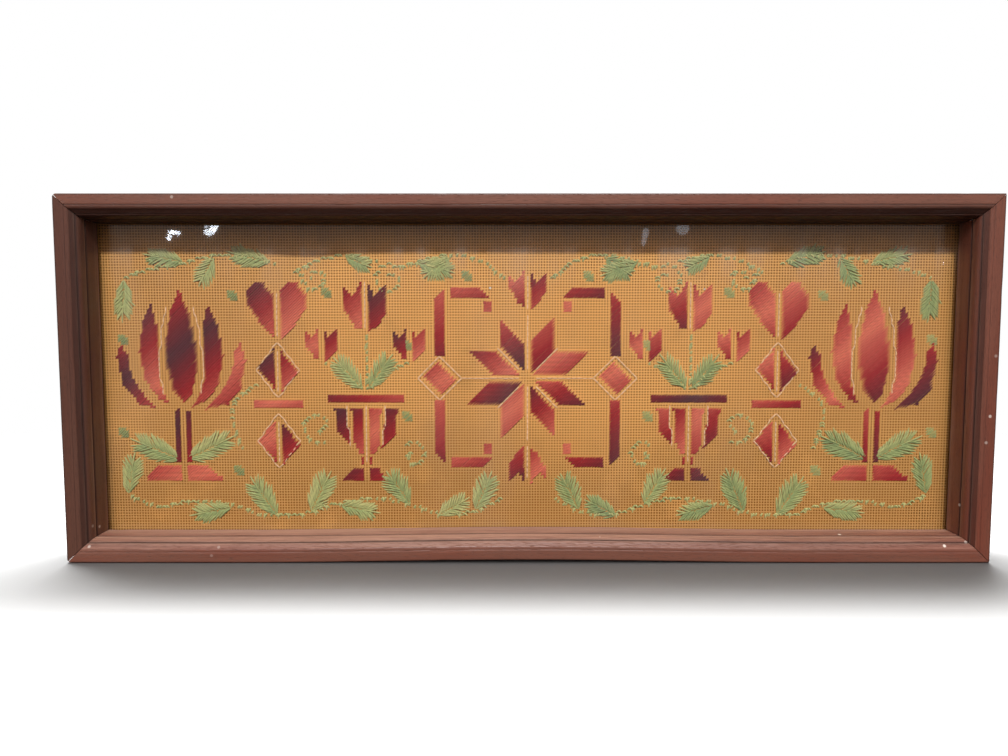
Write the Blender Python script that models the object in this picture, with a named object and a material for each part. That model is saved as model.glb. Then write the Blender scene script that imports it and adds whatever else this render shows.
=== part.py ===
"""A wall-hung sampler: wool work on punched paper, under glass in a deep stepped moulding.

Units are metres and +Z is up. The frame's front faces -Y and its back lies in the plane y = 0.
The origin is the middle of the top rail's back face, where the frame meets the wall.
A moulding section is given as (inward, back): inward from the frame's outer edge towards the
opening, and back from the front plane towards the wall.
"""

import math

import bpy
import bmesh

# Overall size of the frame.
FRAME_WIDTH = 0.546
FRAME_HEIGHT = 0.2155
RAIL_DEPTH = 0.034

# The moulding's section, from its outer edge to the sight edge at the glass.
OUTER_ROUND = 0.0008
FACE_WIDTH = 0.0064
SHOULDER = (0.0114, 0.0018)
MIDDLE_STEP = (0.0135, 0.0086)
SIGHT = (0.0144, 0.0207)
QUIRK_DEPTH = 0.0006
QUIRK_CUT = 0.0003
RABBET_WIDTH = 0.0053
BEAD_SEGMENTS = 8
ROUND_SEGMENTS = 4

# The rails meet at open mitres, and some of their tips are worn away.
CLEARANCE = 0.0003
BOTTOM_CROOK = 0.0017
CROOK_REACH = 0.175
CROOK_SEGMENTS = 28

# What lies in the rabbet, from the front to the back.
GLASS_THICKNESS = 0.002
SHEET_THICKNESS = 0.0016
BOARD_THICKNESS = 0.004
SIDE_PLAY = 0.0006
SHEET_CELLS = (60, 22)

# The old sheet has one slow wave all over and a few hollows, each with its centre, its reach
# along the sheet and up it, and its depth.
WAVE_DEPTH = 0.0004
WAVE_LENGTH = 0.21
HOLLOWS = (
    {"x": -0.133, "z": 0.080, "wide": 0.024, "high": 0.034, "deep": 0.0018},
    {"x": 0.191, "z": 0.080, "wide": 0.018, "high": 0.028, "deep": 0.0012},
    {"x": 0.045, "z": -0.070, "wide": 0.070, "high": 0.030, "deep": 0.0008},
)

# Each rail: its turn about the frame's centre in degrees, whether it is a long one, its crook, and
# what its tips have lost at the start and at the end of its own length.
RAILS = {
    "rail_bottom": {"turn": 0, "long": True, "crook": BOTTOM_CROOK, "tips": (0.0024, 0.0003)},
    "rail_right": {"turn": -90, "long": False, "crook": 0.0, "tips": (0.0003, 0.0003)},
    "rail_top": {"turn": 180, "long": True, "crook": 0.0, "tips": (0.0004, 0.0023)},
    "rail_left": {"turn": 90, "long": False, "crook": 0.0, "tips": (0.0018, 0.0022)},
}

# Colour, roughness and metallic value of each material.
FINISHES = {
    "stained_hardwood": ((0.150, 0.062, 0.042), 0.42, 0.0),
    "window_glass": ((0.860, 0.900, 0.880), 0.05, 0.0),
    "punched_paper": ((0.540, 0.290, 0.110), 0.85, 0.0),
    "softwood_board": ((0.420, 0.270, 0.140), 0.75, 0.0),
}


def half_body_width():
    """Half the clear width behind the sight edge, between the rails' rabbet walls."""
    return FRAME_WIDTH / 2 - (SIGHT[0] - RABBET_WIDTH)


def half_body_height():
    """Half the clear height behind the sight edge, between the rails' rabbet walls."""
    return FRAME_HEIGHT / 2 - (SIGHT[0] - RABBET_WIDTH)


def frame_centre_height():
    """Height of the frame's centre, below the middle of the top rail's back face."""
    return (SIGHT[0] - RABBET_WIDTH) / 2 - FRAME_HEIGHT / 2


def quarter_round(start, end, segments):
    """Points of a convex quarter ellipse that leaves start facing forward and ends facing inward."""
    points = []
    for step in range(segments + 1):
        angle = math.radians(90) * step / segments
        inward = start[0] + (end[0] - start[0]) * math.sin(angle)
        back = end[1] + (start[1] - end[1]) * math.cos(angle)
        points.append((inward, back))
    return points


def moulding_section(worn):
    """The closed section as (inward, back) points, from the back of the outer side round the front.

    worn lists how far in the worn tips reach, where the flat front and back take a point each.
    """
    section = [(inward, RAIL_DEPTH) for inward in sorted(worn, reverse=True)]
    section.append((0.0, RAIL_DEPTH))
    for step in range(ROUND_SEGMENTS + 1):
        angle = math.radians(90) * step / ROUND_SEGMENTS
        section.append((OUTER_ROUND * (1 - math.cos(angle)), OUTER_ROUND * (1 - math.sin(angle))))
    section += [(inward, 0.0) for inward in sorted(worn)]
    bead_start = (FACE_WIDTH, 0.0)
    for bead_end in (SHOULDER, MIDDLE_STEP):
        section += quarter_round(bead_start, bead_end, BEAD_SEGMENTS)
        quirk_back = bead_end[1] + QUIRK_DEPTH
        section.append((bead_end[0] - QUIRK_CUT, quirk_back))
        bead_start = (bead_end[0], quirk_back)
    section += quarter_round(bead_start, SIGHT, BEAD_SEGMENTS)
    section.append((SIGHT[0] - RABBET_WIDTH, SIGHT[1]))
    section.append((SIGHT[0] - RABBET_WIDTH, RAIL_DEPTH))
    return section


def crook_at(along, crook):
    """How far a rail's crook lifts it inward at a distance from its middle."""
    if abs(along) >= CROOK_REACH:
        return 0.0
    return crook * math.cos(math.pi * along / (2 * CROOK_REACH)) ** 2


def rail_mesh(name, length, crook, tips):
    """A mitred length of moulding along local X, with its outer edge on z = 0 and its back on y = 0."""
    mitre_play = CLEARANCE / 2 * math.sqrt(2)
    section = moulding_section({tip - mitre_play for tip in tips if tip > 2 * OUTER_ROUND})
    stations = CROOK_SEGMENTS if crook else 1
    shape = bmesh.new()
    rings = []
    for station in range(stations + 1):
        share = station / stations
        ring = []
        for inward, back in section:
            start = -length / 2 + max(inward + mitre_play, tips[0])
            end = length / 2 - max(inward + mitre_play, tips[1])
            along = start + (end - start) * share
            height = inward + crook_at(along, crook)
            ring.append(shape.verts.new((along, back - RAIL_DEPTH, height)))
        rings.append(ring)
    for ring, following in zip(rings, rings[1:]):
        for index in range(len(section)):
            after = (index + 1) % len(section)
            shape.faces.new((ring[index], ring[after], following[after], following[index]))
    shape.faces.new(rings[0])
    shape.faces.new(rings[-1])
    bmesh.ops.recalc_face_normals(shape, faces=shape.faces)
    mesh = bpy.data.meshes.new(name)
    shape.to_mesh(mesh)
    shape.free()
    return mesh


def cockle_at(x, z):
    """How far the old sheet falls back from the glass, at a place on it."""
    back = WAVE_DEPTH * math.sin(math.pi * (x + z / 2) / WAVE_LENGTH) ** 2
    for hollow in HOLLOWS:
        across = (x - hollow["x"]) / hollow["wide"]
        up = (z - hollow["z"]) / hollow["high"]
        back += hollow["deep"] * math.exp(-across * across - up * up)
    return back


def plate_mesh(name, low, high, front, thickness, cells, offset):
    """A plate between two corners (x, z), set back from y by offset(x, z) all over."""
    shape = bmesh.new()
    layers = []
    for back in (front, front + thickness):
        layer = []
        for row in range(cells[1] + 1):
            z = low[1] + (high[1] - low[1]) * row / cells[1]
            line = []
            for column in range(cells[0] + 1):
                x = low[0] + (high[0] - low[0]) * column / cells[0]
                line.append(shape.verts.new((x, back + offset(x, z), z)))
            layer.append(line)
        layers.append(layer)
    for layer in layers:
        for row in range(cells[1]):
            for column in range(cells[0]):
                shape.faces.new((layer[row][column], layer[row][column + 1],
                                 layer[row + 1][column + 1], layer[row + 1][column]))
    outlines = [outline_of(layer) for layer in layers]
    for index in range(len(outlines[0])):
        shape.faces.new((outlines[0][index - 1], outlines[0][index],
                         outlines[1][index], outlines[1][index - 1]))
    bmesh.ops.recalc_face_normals(shape, faces=shape.faces)
    mesh = bpy.data.meshes.new(name)
    shape.to_mesh(mesh)
    shape.free()
    return mesh


def outline_of(layer):
    """The vertices round a grid of rows, in order."""
    right = [line[-1] for line in layer[1:-1]]
    left = [line[0] for line in reversed(layer[1:-1])]
    return layer[0] + right + list(reversed(layer[-1])) + left


def flat(x, z):
    """No offset, for a plate that lies flat."""
    return 0.0


def make_material(name):
    """A Principled material with the named finish."""
    colour, roughness, metallic = FINISHES[name]
    material = bpy.data.materials.new(name)
    material.use_nodes = True
    shader = material.node_tree.nodes["Principled BSDF"]
    shader.inputs["Base Color"].default_value = (*colour, 1.0)
    shader.inputs["Roughness"].default_value = roughness
    shader.inputs["Metallic"].default_value = metallic
    return material


def add_piece(name, mesh, material, parent):
    """One named object on the frame's centre."""
    piece = bpy.data.objects.new(name, mesh)
    piece.data.materials.append(material)
    bpy.context.scene.collection.objects.link(piece)
    piece.parent = parent
    return piece


def add_rails(parent):
    """The four rails, each turned about the frame's centre and set out to its own side."""
    wood = make_material("stained_hardwood")
    for name, rail in RAILS.items():
        length = FRAME_WIDTH if rail["long"] else FRAME_HEIGHT
        reach = (FRAME_HEIGHT if rail["long"] else FRAME_WIDTH) / 2
        turn = math.radians(rail["turn"])
        piece = add_piece(name, rail_mesh(name, length, rail["crook"], rail["tips"]), wood, parent)
        piece.rotation_euler = (0.0, turn, 0.0)
        piece.location = (-reach * math.sin(turn), 0.0, -reach * math.cos(turn))
        piece.data.shade_smooth()
        piece.data.set_sharp_from_angle(angle=math.radians(30))


def add_filling(parent):
    """The glass, the worked sheet and the backing board, one behind the other in the rabbet."""
    high = (half_body_width() - SIDE_PLAY, half_body_height() - SIDE_PLAY)
    low = (-high[0], -high[1] + BOTTOM_CROOK)
    deepest = WAVE_DEPTH + max(hollow["deep"] for hollow in HOLLOWS)
    glass_front = SIGHT[1] - RAIL_DEPTH + CLEARANCE
    sheet_front = glass_front + GLASS_THICKNESS + CLEARANCE
    board_front = sheet_front + SHEET_THICKNESS + deepest + CLEARANCE
    plates = (
        ("glass_pane", glass_front, GLASS_THICKNESS, (1, 1), flat, "window_glass"),
        ("worked_sheet", sheet_front, SHEET_THICKNESS, SHEET_CELLS, cockle_at, "punched_paper"),
        ("backing_board", board_front, BOARD_THICKNESS, (1, 1), flat, "softwood_board"),
    )
    for name, front, thickness, cells, offset, finish in plates:
        mesh = plate_mesh(name, low, high, front, thickness, cells, offset)
        add_piece(name, mesh, make_material(finish), parent)


def main():
    for obj in list(bpy.data.objects):
        bpy.data.objects.remove(obj, do_unlink=True)
    centre = bpy.data.objects.new("frame_centre", None)
    centre.location = (0.0, 0.0, frame_centre_height())
    bpy.context.scene.collection.objects.link(centre)
    add_rails(centre)
    add_filling(centre)


if __name__ == "__main__":
    main()
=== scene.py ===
"""Dresses the framed sampler: shaded wool worked on punched card, under glass in a deep moulding.

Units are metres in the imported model's own frame: the frame's front faces -Y, its back lies in the
plane y = 0, and +Z is up. The pattern is counted in holes of the card, from its middle hole.
"""

import itertools
import math
import random

import bmesh
import bpy
from bpy.props import FloatProperty, FloatVectorProperty, IntProperty, PointerProperty
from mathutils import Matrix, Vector, noise


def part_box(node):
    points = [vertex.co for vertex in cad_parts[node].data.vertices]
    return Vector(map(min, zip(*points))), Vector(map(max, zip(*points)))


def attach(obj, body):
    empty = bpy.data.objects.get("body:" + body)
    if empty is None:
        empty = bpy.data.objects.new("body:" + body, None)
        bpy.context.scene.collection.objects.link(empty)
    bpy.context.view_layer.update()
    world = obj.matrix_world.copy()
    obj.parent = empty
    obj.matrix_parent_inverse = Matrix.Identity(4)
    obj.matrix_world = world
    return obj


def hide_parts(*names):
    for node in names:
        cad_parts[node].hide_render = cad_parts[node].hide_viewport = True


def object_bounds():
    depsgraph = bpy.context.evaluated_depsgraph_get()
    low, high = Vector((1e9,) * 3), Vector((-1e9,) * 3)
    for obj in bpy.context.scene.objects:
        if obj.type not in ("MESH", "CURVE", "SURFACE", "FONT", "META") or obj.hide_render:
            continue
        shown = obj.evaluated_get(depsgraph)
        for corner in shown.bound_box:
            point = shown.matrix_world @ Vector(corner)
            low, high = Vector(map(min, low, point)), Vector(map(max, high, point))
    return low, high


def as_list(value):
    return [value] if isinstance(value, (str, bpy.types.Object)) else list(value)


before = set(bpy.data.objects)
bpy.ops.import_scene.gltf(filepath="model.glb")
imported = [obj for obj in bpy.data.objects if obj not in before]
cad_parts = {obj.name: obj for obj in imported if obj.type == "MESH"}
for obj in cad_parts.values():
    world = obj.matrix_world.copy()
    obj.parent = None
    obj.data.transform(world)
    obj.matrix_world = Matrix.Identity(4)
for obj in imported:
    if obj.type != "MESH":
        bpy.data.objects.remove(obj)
CAD_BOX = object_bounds()

bl_info = {
    "name": "Punched card sampler",
    "version": (1, 0, 0),
    "blender": (4, 5, 0),
    "location": "3D View > Sidebar > Sampler",
    "description": "Makes the rails, glass, card, wool work and stage of a framed sampler",
    "category": "Object",
}

FRAME_WIDTH = CAD_BOX[1][0] - CAD_BOX[0][0]
FRAME_HEIGHT = CAD_BOX[1][2] - CAD_BOX[0][2]
CENTRE_Z = (CAD_BOX[0][2] + CAD_BOX[1][2]) / 2
RAIL_DEPTH = CAD_BOX[1][1] - CAD_BOX[0][1]
SHEET_LOW, SHEET_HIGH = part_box("worked_sheet")

# The waves of the old card: one slow one all over and a few hollows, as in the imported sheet.
WAVE_DEPTH = 0.0004
WAVE_LENGTH = 0.21
HOLLOWS = (
    {"x": -0.133, "z": 0.080, "wide": 0.024, "high": 0.034, "deep": 0.0018},
    {"x": 0.191, "z": 0.080, "wide": 0.018, "high": 0.028, "deep": 0.0012},
    {"x": 0.045, "z": -0.070, "wide": 0.070, "high": 0.030, "deep": 0.0008},
)
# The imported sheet's front, where it has no wave.
SHEET_FRONT = -0.0107

# Each rail: its turn about the frame's centre in degrees, whether it is a long one, its crook, and
# how much of each tip is worn off. Then how pale its beads are, from wear and on the bottom rail's
# upward beads from painted light, how much painted shade darkens its shoulder, and how light and
# how red its stain has stayed.
RAILS = {
    "rail_bottom": {"turn": 0, "long": True, "crook": 0.0017, "tips": (0.0018, 0.0),
                    "pale": 0.85, "grime_and_painted_shade": 0.0, "stain": 1.08, "red": 0.30},
    "rail_right": {"turn": -90, "long": False, "crook": 0.0, "tips": (0.0, 0.0),
                   "pale": 0.12, "grime_and_painted_shade": 0.60, "stain": 1.05, "red": 0.70},
    "rail_top": {"turn": 180, "long": True, "crook": 0.0, "tips": (0.0, 0.0019),
                 "pale": 0.0, "grime_and_painted_shade": 0.80, "stain": 1.15, "red": 0.20},
    "rail_left": {"turn": 90, "long": False, "crook": 0.0, "tips": (0.0018, 0.0019),
                  "pale": 0.0, "grime_and_painted_shade": 0.58, "stain": 0.62, "red": 0.05},
}
CROOK_REACH = 0.175
# The distance between the rings of points along a rail, and that of the extra ones from its tips.
STATION = 0.0028
TIP_STATIONS = (0.0005, 0.0016)
BEAD_STEPS = 12
ROUND_STEPS = 6

# Points of the moulding's section on its outer side and its face. Each gives how far in and how far
# back it lies, how readily it wears and how dark it is with grime and painted shade. Those of the
# scored line and of the roll are counted inward from there.
OUTER_SIDE = tuple((0.0, back, 0.15, 0.0) for back in (RAIL_DEPTH, 0.024, 0.012, 0.004))
FLAT_FACE = ((0.0014, 0.0, 0.3, 0.0), (0.0026, 0.0, 0.1, 0.0), (0.0042, 0.0, 0.1, 0.0),
             (0.0055, 0.0, 0.1, 0.0))
SCORED_LINE = ((-0.00035, 0.00002, 0.5, 0.0), (0.0, 0.00022, 0.0, 0.6), (0.00035, 0.00014, 0.3, 0.0),
               (0.0010, 0.00018, 0.2, 0.0))
ROLL = ((-0.0005, 0.00028, 0.3, 0.0), (0.0, 0.00048, 0.5, 0.0), (0.0003, 0.00070, 0.6, 0.0),
        (0.0006, 0.00102, 0.45, 0.0))
# How dark the first points of a bead are next to the groove before it: grime and painted shade.
BEAD_SHADE_AND_GRIME = (1.0, 0.85, 0.6, 0.35, 0.15)

# Pale flecks of dust on the rails: the spot of each, and how strongly it shows.
FLECKS = (((0.1885, -0.0229, -0.1969), 0.85), ((0.2467, -0.0323, -0.2012), 0.85),
          ((-0.2590, -0.0226, -0.1921), 0.35), ((-0.2598, -0.0285, -0.1902), 0.22),
          ((-0.2602, -0.0326, -0.2015), 0.40), ((0.2593, -0.0245, -0.1784), 0.35),
          ((0.2600, -0.0311, -0.1992), 0.35), ((-0.1834, -0.0328, -0.2018), 0.20),
          ((-0.1873, -0.0340, -0.2065), 0.15), ((0.2691, -0.0340, -0.1237), 0.55),
          ((0.2675, -0.0340, -0.1392), 0.30), ((0.2708, -0.0340, -0.0885), 0.22),
          ((-0.2042, -0.0340, 0.0025), 0.35))
# Reddened stain, the dark of grime and painted shade in the grooves, on the shoulders and under the
# top rail, freshly bared wood and dust.
REDDENED, GRIME_AND_PAINTED_SHADE = (0.92, 0.62, 0.56), (0.024, 0.008, 0.006)
BARE_WOOD, DUST = (0.62, 0.50, 0.42), (0.86, 0.78, 0.70)


# ---------------------------------------------------------------- settings

def length(name, description, default):
    """A length in metres for the sidebar."""
    return FloatProperty(name=name, description=description, default=default, unit="LENGTH", precision=5)


def share(name, description, default):
    """A plain number from 0 upwards for the sidebar."""
    return FloatProperty(name=name, description=description, default=default, min=0.0)


def colour(name, description, default):
    """A colour for the sidebar."""
    return FloatVectorProperty(name=name, description=description, default=default, size=3,
                               subtype="COLOR", min=0.0, max=1.0)


class SamplerMoulding(bpy.types.PropertyGroup):
    """Sizes and stain of the four rails."""
    outer_round: length("Outer round", "Radius of the frame's outer front edge", 0.0008)
    face_width: length("Face width", "Width of the front as far as its fine scored line", 0.0063)
    shoulder_in: length("Shoulder inward", "How far in the sloping shoulder ends", 0.0111)
    shoulder_back: length("Shoulder back", "How far back the sloping shoulder ends", 0.00255)
    roll_in: length("Roll inward", "Where the face rolls over into the shoulder", 0.0083)
    step_in: length("Middle step inward", "How far in the middle bead ends", 0.0135)
    step_back: length("Middle step back", "How far back the middle bead ends", 0.0086)
    sight_in: length("Sight edge inward", "How far in the sight edge is", 0.0144)
    sight_back: length("Sight edge back", "How far back the sight edge is", 0.0207)
    rabbet: length("Rabbet", "Width of the rabbet that holds the glass", 0.0053)
    quirk_depth: length("Quirk depth", "Depth of the fine groove between two beads", 0.0006)
    quirk_cut: length("Quirk cut", "How far the groove cuts under the bead before it", 0.0003)
    mitre_gap: length("Mitre gap", "Open gap at the mitres", 0.0003)
    stain: colour("Stain", "Reddish brown stain of the wood", (0.175, 0.074, 0.050))
    stain_dark: colour("Dark stain", "Stain in the pores and late wood", (0.070, 0.026, 0.018))
    # The worn stain also serves as painted light where the bottom rail's beads face up.
    stain_pale: colour("Worn stain", "Where the stain has worn thin", (0.400, 0.230, 0.160))


class SamplerCard(bpy.types.PropertyGroup):
    """Sizes and colours of the punched card, its glass and the board behind it."""
    pitch: length("Hole pitch", "Distance from one punched hole to the next", 0.001683)
    hole: length("Hole width", "Width of a punched hole", 0.00070)
    columns: IntProperty(name="Columns", description="Holes across the card", default=311)
    rows_down: IntProperty(name="Rows down", description="Holes below the middle row", default=56)
    rows_up: IntProperty(name="Rows up", description="Holes above the middle row", default=57)
    setback: length("Card setback", "Card's face behind the front of the packed sheet", 0.00125)
    tan: colour("Card", "Golden tan of the card", (0.865, 0.420, 0.124))
    # The card turns this browner colour towards its foot and ends.
    amber: colour("Aged card", "Amber of the card's foot and ends", (0.510, 0.240, 0.069))
    hazy: share("Haze", "How much dust veils the glass", 0.030)
    board: colour("Board", "Aged softwood", (0.330, 0.205, 0.105))
    board_dark: colour("Board grain", "Late wood of the softwood", (0.150, 0.082, 0.040))


class SamplerWool(bpy.types.PropertyGroup):
    """Sizes and dyes of the wool."""
    girth: length("Strand girth", "Half the width of a satin strand", 0.00071)
    thin: length("Thin strand", "Half the width of a strand in leaves and vines", 0.00054)
    flatness: share("Flatness", "Height of a strand over its width", 0.42)
    dive: length("Dive", "How far from its end a strand starts to go down", 0.0013)
    sink: length("Sink", "How far below the card's face a strand ends", 0.00012)
    plum: colour("Plum", "Darkest shade of the reds", (0.095, 0.024, 0.036))
    maroon: colour("Maroon", "Second shade of the reds", (0.200, 0.018, 0.026))
    crimson: colour("Crimson", "Middle shade of the reds", (0.370, 0.018, 0.023))
    rose: colour("Rose", "Fourth shade of the reds", (0.560, 0.086, 0.065))
    salmon: colour("Salmon", "Palest shade of the reds", (0.760, 0.182, 0.118))
    fern: colour("Fern", "Dark sage green", (0.200, 0.268, 0.118))
    sage: colour("Sage", "Middle sage green", (0.354, 0.404, 0.166))
    moss: colour("Moss", "Yellow green of the vines", (0.540, 0.500, 0.212))
    cream: colour("Cream", "Pale pink cream of the fine lines", (0.820, 0.560, 0.370))


class SamplerStage(bpy.types.PropertyGroup):
    """Light, floor and camera."""
    key: share("Key light", "Power of the wide, low key light above the camera, in watts", 1400.0)
    key_height: share("Key height", "Height of the key light in degrees", 42.6)
    over: share("Top light", "Power of each light above and behind that shades the floor, in watts", 56.0)
    rear: share("Rear light", "Power of the soft light behind the frame, in watts", 26.0)
    world: share("Fill", "Strength of the soft light all round", 1.0)
    lens: share("Lens", "Focal length in millimetres on a 36 mm sensor", 26.786)
    floor: colour("Floor", "Pale floor", (0.300, 0.335, 0.358))


SETTINGS = {"sampler_moulding": SamplerMoulding, "sampler_card": SamplerCard,
            "sampler_wool": SamplerWool, "sampler_stage": SamplerStage}


# ---------------------------------------------------------------- node work

class Reading:
    """A node's output that takes part in sums: each operator lays the Math node it stands for."""

    def __init__(self, desk, socket):
        self.desk, self.socket = desk, socket

    def sine(self):
        return self.desk.math("SINE", self)

    def other(self, name):
        """Another output of the same node."""
        return Reading(self.desk, pick(self.socket.node.outputs, name))

    def __neg__(self):
        return self.desk.math("MULTIPLY", self, -1.0)


def operator_pair(operation):
    """The plain and the reflected form of an operator on readings."""
    def plain(self, value):
        return self.desk.math(operation, self, value)

    def reflected(self, value):
        return self.desk.math(operation, value, self)
    return plain, reflected


for symbol, operation in (("add", "ADD"), ("sub", "SUBTRACT"), ("mul", "MULTIPLY"),
                          ("truediv", "DIVIDE"), ("pow", "POWER"), ("mod", "FLOORED_MODULO")):
    plain_form, reflected_form = operator_pair(operation)
    setattr(Reading, f"__{symbol}__", plain_form)
    setattr(Reading, f"__r{symbol}__", reflected_form)
Reading.__gt__ = operator_pair("GREATER_THAN")[0]
Reading.__lt__ = operator_pair("LESS_THAN")[0]


def pick(sockets, key):
    """The socket that a key stands for: its place in the row, or its name among those in use."""
    if isinstance(key, int):
        return sockets[key]
    for socket in sockets:
        if socket.enabled and socket.name == key:
            return socket
    raise KeyError(f"no socket {key} on {sockets[0].node.bl_idname}")


class Desk:
    """Lays the nodes of one tree, of shaders or of geometry."""

    def __init__(self, tree):
        self.tree = tree

    def node(self, kind, settings=None, sockets=None, out=0):
        """Adds a node: its settings first, then the values or links of its sockets."""
        node = self.tree.nodes.new(kind)
        for name, value in (settings or {}).items():
            if name == "stops":
                self.fill_ramp(node.color_ramp, value)
            else:
                setattr(node, name, value)
        for key, value in (sockets or {}).items():
            socket = pick(node.inputs, key)
            if isinstance(value, Reading):
                self.tree.links.new(value.socket, socket)
            else:
                socket.default_value = (*value, 1.0) if socket.type == "RGBA" else value
        return Reading(self, pick(node.outputs, out)) if len(node.outputs) else node

    @staticmethod
    def fill_ramp(ramp, stops):
        """Sets a colour ramp's stops, given as (place, colour)."""
        while len(ramp.elements) < len(stops):
            ramp.elements.new(1.0)
        for element, (place, shade) in zip(ramp.elements, stops):
            element.position = place
            element.color = (*shade, 1.0)

    def math(self, operation, *values):
        return self.node("ShaderNodeMath", {"operation": operation}, dict(enumerate(values)))

    def vector(self, operation, *values, out=0):
        return self.node("ShaderNodeVectorMath", {"operation": operation},
                         dict(enumerate(values)), out)

    def xyz(self, x, y, z):
        return self.node("ShaderNodeCombineXYZ", None, {0: x, 1: y, 2: z})

    def apart(self, vector):
        """The three parts of a vector."""
        first = self.node("ShaderNodeSeparateXYZ", None, {0: vector})
        return first, first.other("Y"), first.other("Z")

    def smooth(self, value, low, high, start=0.0, end=1.0):
        """Goes smoothly from start to end as a value goes from low to high."""
        return self.node("ShaderNodeMapRange", {"interpolation_type": "SMOOTHSTEP"},
                         {0: value, 1: low, 2: high, 3: start, 4: end})

    def mix(self, factor, a, b, blend="MIX"):
        return self.node("ShaderNodeMix", {"data_type": "RGBA", "blend_type": blend},
                         {"Factor": factor, "A": a, "B": b}, "Result")

    def dimmed(self, shade, light):
        """A colour times a plain value."""
        return self.mix(1.0, shade, self.xyz(light, light, light), "MULTIPLY")

    def ramp(self, value, stops):
        return self.node("ShaderNodeValToRGB", {"stops": stops}, {0: value}, "Color")

    def noise(self, vector, scale, detail=3.0, roughness=0.5):
        """Cloudy noise from 0 to 1 at a place."""
        return self.node("ShaderNodeTexNoise", None,
                         {"Vector": vector, "Scale": scale, "Detail": detail, "Roughness": roughness})

    def streaks(self, place, stretch, detail, roughness=0.5):
        """Cloudy noise on a place that is stretched each way by an amount of its own."""
        return self.noise(self.vector("MULTIPLY", place, stretch), 1.0, detail, roughness)

    def warped(self, place, stretch, scale, sway):
        """A stretched place that sways as a cloudy noise does."""
        return self.vector("ADD", self.vector("MULTIPLY", place, stretch),
                           self.vector("MULTIPLY", self.noise(place, scale).other("Color"), sway))

    def attribute(self, name, out="Fac"):
        """A value that the piece's mesh carries, in a shader."""
        return self.node("ShaderNodeAttribute", {"attribute_name": name}, out=out)

    def field(self, name, kind="FLOAT"):
        """A value that the piece's mesh carries, in a Geometry Nodes tree."""
        return self.node("GeometryNodeInputNamedAttribute", {"data_type": kind}, {"Name": name},
                         "Attribute")

    def bump(self, height, distance, strength):
        return self.node("ShaderNodeBump", None,
                         {"Strength": strength, "Distance": distance, "Height": height})

    def surface(self, shader):
        """Ends a shader tree."""
        self.node("ShaderNodeOutputMaterial", None, {"Surface": shader})

    def principled(self, shade, rough, normal, more):
        """Ends a shader tree with a Principled shader."""
        self.surface(self.node("ShaderNodeBsdfPrincipled", None, {
            "Base Color": shade, "Roughness": rough, "Normal": normal, **more}))


def scaled(shade, by):
    """A lighter or darker shade of a colour."""
    return [by * part for part in shade]


def new_material(name):
    """An empty material and the desk of its tree."""
    material = bpy.data.materials.new(name)
    material.use_nodes = True
    material.node_tree.nodes.clear()
    return material, Desk(material.node_tree)


def object_place(desk):
    """Where a spot is on the object, in metres."""
    return desk.node("ShaderNodeTexCoord", out="Object")


def sine(value):
    """The sine of a number or of a reading."""
    return value.sine() if isinstance(value, Reading) else math.sin(value)


def cockle_at(x, z):
    """How far the old card falls back from the glass, at a place measured from the frame's centre."""
    wave = sine((x + z * 0.5) * (math.pi / WAVE_LENGTH))
    back = wave * wave * WAVE_DEPTH
    for hollow in HOLLOWS:
        across = (x - hollow["x"]) * (1 / hollow["wide"])
        up = (z - hollow["z"]) * (1 / hollow["high"])
        back = back + hollow["deep"] * math.e ** -(across * across + up * up)
    return back


# ---------------------------------------------------------------- meshes and modifiers

def put(name, mesh, *materials):
    """A new piece with this mesh and these materials."""
    piece = bpy.data.objects.new(name, mesh)
    for material in materials:
        mesh.materials.append(material)
    bpy.context.scene.collection.objects.link(piece)
    return piece


def carry(mesh, name, kind, values, field="value"):
    """Gives a mesh a named value on each of its points."""
    mesh.attributes.new(name, kind, "POINT").data.foreach_set(field, values)


def geometry_tree(name, inputs):
    """A new Geometry Nodes tree with named inputs, its desk and a reading of each input."""
    tree = bpy.data.node_groups.new(name, "GeometryNodeTree")
    tree.interface.new_socket("Geometry", in_out="OUTPUT", socket_type="NodeSocketGeometry")
    tree.interface.new_socket("Geometry", in_out="INPUT", socket_type="NodeSocketGeometry")
    for title, kind in inputs.items():
        tree.interface.new_socket(title, in_out="INPUT", socket_type="NodeSocket" + kind)
    desk = Desk(tree)
    source = desk.node("NodeGroupInput")
    return tree, desk, {title: source.other(title) for title in ("Geometry", *inputs)}


def end_tree(desk, geometry, material):
    """Ends a Geometry Nodes tree: real geometry, with its material."""
    real = desk.node("GeometryNodeRealizeInstances", None, {"Geometry": geometry})
    worn = desk.node("GeometryNodeSetMaterial", None, {"Geometry": real, "Material": material})
    desk.node("NodeGroupOutput", None, {"Geometry": worn})


def grown(name, base, tree, values):
    """Runs a Geometry Nodes tree on a base mesh and keeps the result as a plain mesh."""
    piece = put(name, base)
    modifier = piece.modifiers.new(tree.name, "NODES")
    modifier.node_group = tree
    for socket in tree.interface.items_tree:
        if socket.in_out == "INPUT" and socket.name in values:
            modifier[socket.identifier] = values[socket.name]
    depsgraph = bpy.context.evaluated_depsgraph_get()
    mesh = bpy.data.meshes.new_from_object(piece.evaluated_get(depsgraph),
                                           preserve_all_data_layers=True, depsgraph=depsgraph)
    piece.modifiers.remove(modifier)
    piece.data = mesh
    bpy.data.meshes.remove(base)
    mesh.name = name
    if not mesh.polygons:
        raise RuntimeError(f"{name} came out empty")
    return piece


# ---------------------------------------------------------------- the rails

def quarter_round(start, end, steps):
    """Points of a convex quarter ellipse that leaves start facing forward and ends facing inward."""
    for step in range(steps + 1):
        angle = math.radians(90) * step / steps
        yield (start[0] + (end[0] - start[0]) * math.sin(angle),
               end[1] + (start[1] - end[1]) * math.cos(angle))


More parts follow.
